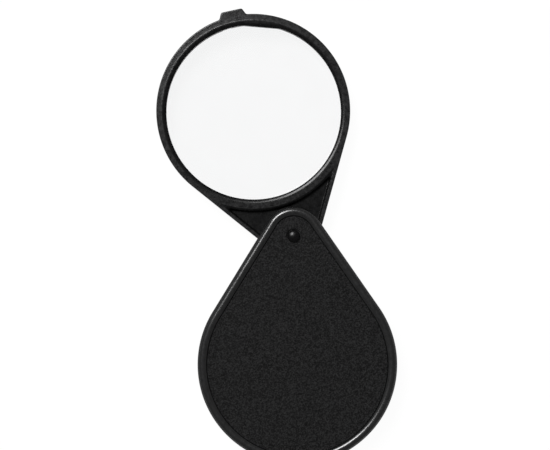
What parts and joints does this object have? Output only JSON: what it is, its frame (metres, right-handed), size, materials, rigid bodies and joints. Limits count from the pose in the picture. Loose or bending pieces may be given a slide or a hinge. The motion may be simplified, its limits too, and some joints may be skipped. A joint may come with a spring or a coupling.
{
  "type": "folding hand lens",
  "caption": "Folding pocket magnifier: a round lens in a black plastic ring with a triangular tang, which swings out of a flat teardrop case with leatherette panels.",
  "frame": {"origin": "middle of the bounding box's bottom face, on the surface that the rear cover rests on", "axes": "+Z out of the front cover and along the pivot axis, +Y along the case's axis from its wide end to the pivot, +X to the right seen from the front"},
  "size_m": [0.0796, 0.156, 0.015],
  "materials": {
    "case_plastic": "black moulded plastic, satin, fine spark texture",
    "frame_plastic": "black moulded plastic, satin",
    "leatherette": "black leatherette with a fine pebbled grain",
    "blacked_metal": "black enamel, glossy",
    "spring_steel": "plain spring steel",
    "nylon": "natural nylon",
    "brass": "turned brass",
    "clear_acrylic": "clear optical acrylic, polished"
  },
  "bodies": {
    "case": {"front_cover": "case_plastic", "rear_cover": "case_plastic", "front_leatherette": "leatherette", "rear_leatherette": "leatherette", "pivot_rivet": "blacked_metal", "rivet_cap": "blacked_metal", "rear_rivet_washer": "spring_steel", "front_friction_washer": "nylon", "rear_friction_washer": "nylon", "wave_washer": "spring_steel"},
    "lens_arm": {"lens_frame": "frame_plastic", "lens": "clear_acrylic", "lens_retaining_ring": "frame_plastic", "pivot_bush": "brass"}
  },
  "joints": [
    {"name": "lens_swing", "type": "hinge", "parent": "case", "child": "lens_arm", "pos_m": [0.00594, -0.00051, 0.0075], "axis": [0, 0, 1], "range_deg": [-16.2, 163.3]}
  ]
}
